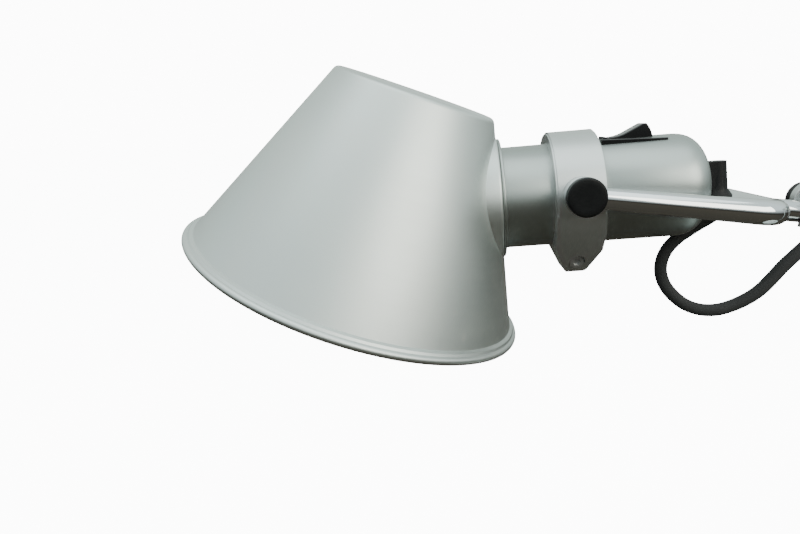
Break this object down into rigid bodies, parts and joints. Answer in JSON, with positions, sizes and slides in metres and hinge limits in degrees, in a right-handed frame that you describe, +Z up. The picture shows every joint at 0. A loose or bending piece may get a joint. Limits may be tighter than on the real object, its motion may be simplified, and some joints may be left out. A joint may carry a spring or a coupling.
{
  "type": "architect desk lamp",
  "caption": "Desk lamp with a round weighted base, two sprung tube arms, a chrome rod fork and a flared metal shade that tilts on a clamp ring.",
  "frame": {"origin": "centre of the base's underside, on the table", "axes": "+Z up, the head points to -X, +Y to the far side"},
  "size_m": [0.7082, 0.23, 0.4606],
  "materials": {
    "satin_aluminium": "satin anodised aluminium",
    "cast_aluminium": "satin cast aluminium",
    "chrome": "polished chrome",
    "steel": "plain steel",
    "iron": "raw cast iron",
    "black_plastic": "matte black",
    "black_gloss": "glossy black",
    "black_rubber": "satin black",
    "white_plastic": "white thermoset",
    "brass": "plain brass",
    "cap_aluminium": "bright rolled aluminium",
    "opal_glass": "opal glass"
  },
  "bodies": {
    "base": {"base_pad": "black_rubber", "base_weight": "iron", "base_cover": "satin_aluminium", "base_bush": "black_plastic", "base_gland": "black_plastic", "base_screws": "steel"},
    "post": {"swivel_post": "cast_aluminium", "post_ring": "steel", "post_pin": "steel", "post_caps": "black_plastic"},
    "lower_arm": {"lower_arm_tube": "satin_aluminium", "lower_eye": "cast_aluminium", "elbow_clevis": "cast_aluminium", "lower_spring": "steel", "lower_spring_hook": "steel", "lower_lead": "black_rubber", "elbow_pin": "steel", "elbow_caps": "black_plastic"},
    "upper_arm": {"upper_arm_tube": "satin_aluminium", "elbow_eye": "cast_aluminium", "tip_bush": "black_plastic", "upper_spring": "steel", "upper_spring_hook": "steel", "upper_lead": "black_rubber"},
    "arm_tip": {"tip_eye": "cast_aluminium", "tip_ring": "steel"},
    "fork": {"fork_rod": "chrome", "wrist_block": "cast_aluminium", "wrist_pin": "steel", "wrist_washer": "steel", "wrist_nut": "black_plastic", "cord_ferrule": "black_plastic", "pivot_caps": "black_plastic", "friction_washers": "black_rubber"},
    "head": {"shade": "satin_aluminium", "shade_flange": "satin_aluminium", "shade_lock_ring": "white_plastic", "neck_tube": "satin_aluminium", "rear_housing": "satin_aluminium", "clamp_ring": "cast_aluminium", "clamp_screw": "steel", "clamp_nut": "steel", "pivot_screws": "steel", "lamp_holder": "white_plastic", "contact_tongue": "brass", "bulb_cap": "cap_aluminium", "bulb_glass": "opal_glass", "switch_bezel": "black_gloss", "switch_body": "black_plastic", "terminal_block": "white_plastic", "head_wires": "brass", "cord_gland": "black_plastic", "strain_relief": "black_rubber", "head_cord": "black_rubber"},
    "rocker": {"rocker": "black_gloss"}
  },
  "joints": [
    {"name": "base_swivel", "type": "hinge", "parent": "base", "child": "post", "pos_m": [0, 0, 0], "axis": [0, 0, 1], "range_deg": [-170, 170]},
    {"name": "lower_tilt", "type": "hinge", "parent": "post", "child": "lower_arm", "pos_m": [0, 0, 0.066], "axis": [0, 1, 0], "range_deg": [-25, 30]},
    {"name": "elbow_bend", "type": "hinge", "parent": "lower_arm", "child": "upper_arm", "pos_m": [0.1775, 0, 0.44665], "axis": [0, 1, 0], "range_deg": [-15, 70]},
    {"name": "tip_roll", "type": "hinge", "parent": "upper_arm", "child": "arm_tip", "pos_m": [-0.19838, 0, 0.30984], "axis": [-0.9397, 0, -0.342], "range_deg": [-90, 90]},
    {"name": "fork_pitch", "type": "hinge", "parent": "arm_tip", "child": "fork", "pos_m": [-0.19838, 0, 0.30984], "axis": [0, 1, 0], "range_deg": [-60, 60]},
    {"name": "head_tilt", "type": "hinge", "parent": "fork", "child": "head", "pos_m": [-0.32237, 0, 0.31621], "axis": [0, 1, 0], "range_deg": [-60, 60], "deforming": ["head_cord"]},
    {"name": "rocker_press", "type": "hinge", "parent": "head", "child": "rocker", "pos_m": [-0.29565, 0, 0.33586], "axis": [0, 1, 0], "range_deg": [0, 22]}
  ]
}
